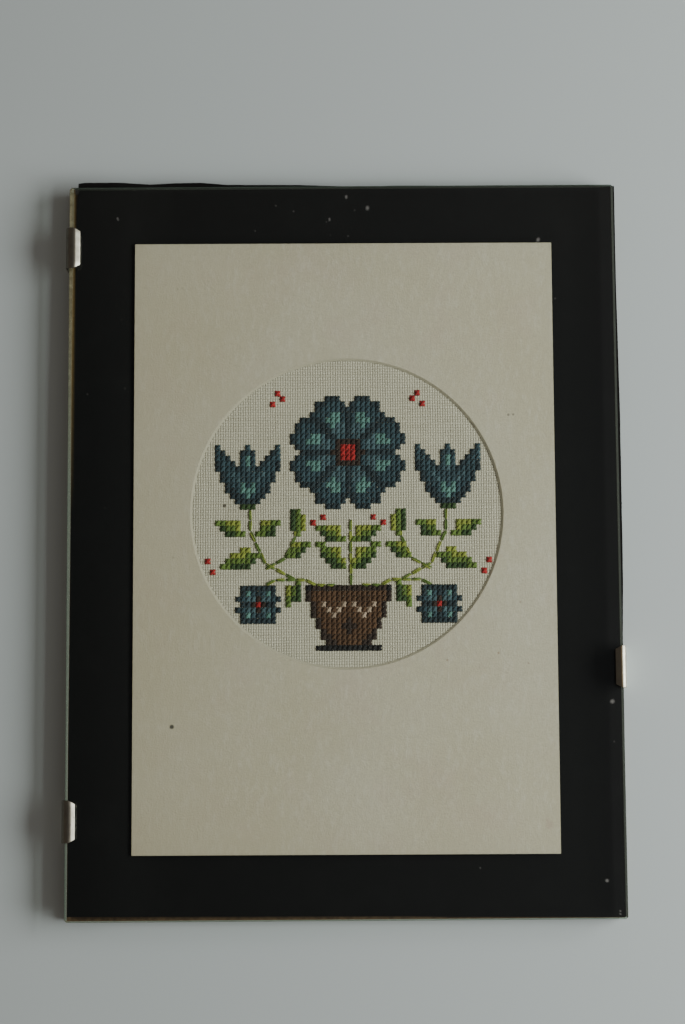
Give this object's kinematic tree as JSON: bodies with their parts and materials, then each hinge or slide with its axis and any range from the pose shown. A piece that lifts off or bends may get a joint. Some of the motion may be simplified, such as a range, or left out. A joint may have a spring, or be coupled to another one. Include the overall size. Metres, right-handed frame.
{
  "type": "framed embroidery: cross stitch on linen in a glass clip frame",
  "caption": "Counted cross stitch on linen behind a round window card and black paper, pressed between glass and hardboard by spring clips.",
  "frame": {"origin": "middle of the whole outline, on the plane that the clips' back legs rest on", "axes": "+X to the picture's right, +Y to the picture's top, +Z out of the glass"},
  "size_m": [0.1822, 0.243, 0.011],
  "materials": {
    "hardboard": "brown pressed hardboard, smooth in front and meshed behind",
    "black_paper": "matte black paper, cut by hand",
    "linen": "off-white evenweave linen with cotton cross stitch",
    "cream_card": "aged cream card, matte, faintly stained",
    "clear_glass": "clear float glass with ground edges",
    "plated_steel": "dull plated spring steel, lightly scratched"
  },
  "bodies": {
    "root": {"backing_board": "hardboard", "black_paper": "black_paper", "linen_cloth": "linen", "window_card": "cream_card", "glass_pane": "clear_glass", "clip_left_upper": "plated_steel", "clip_left_lower": "plated_steel", "clip_right": "plated_steel"}
  },
  "joints": []
}
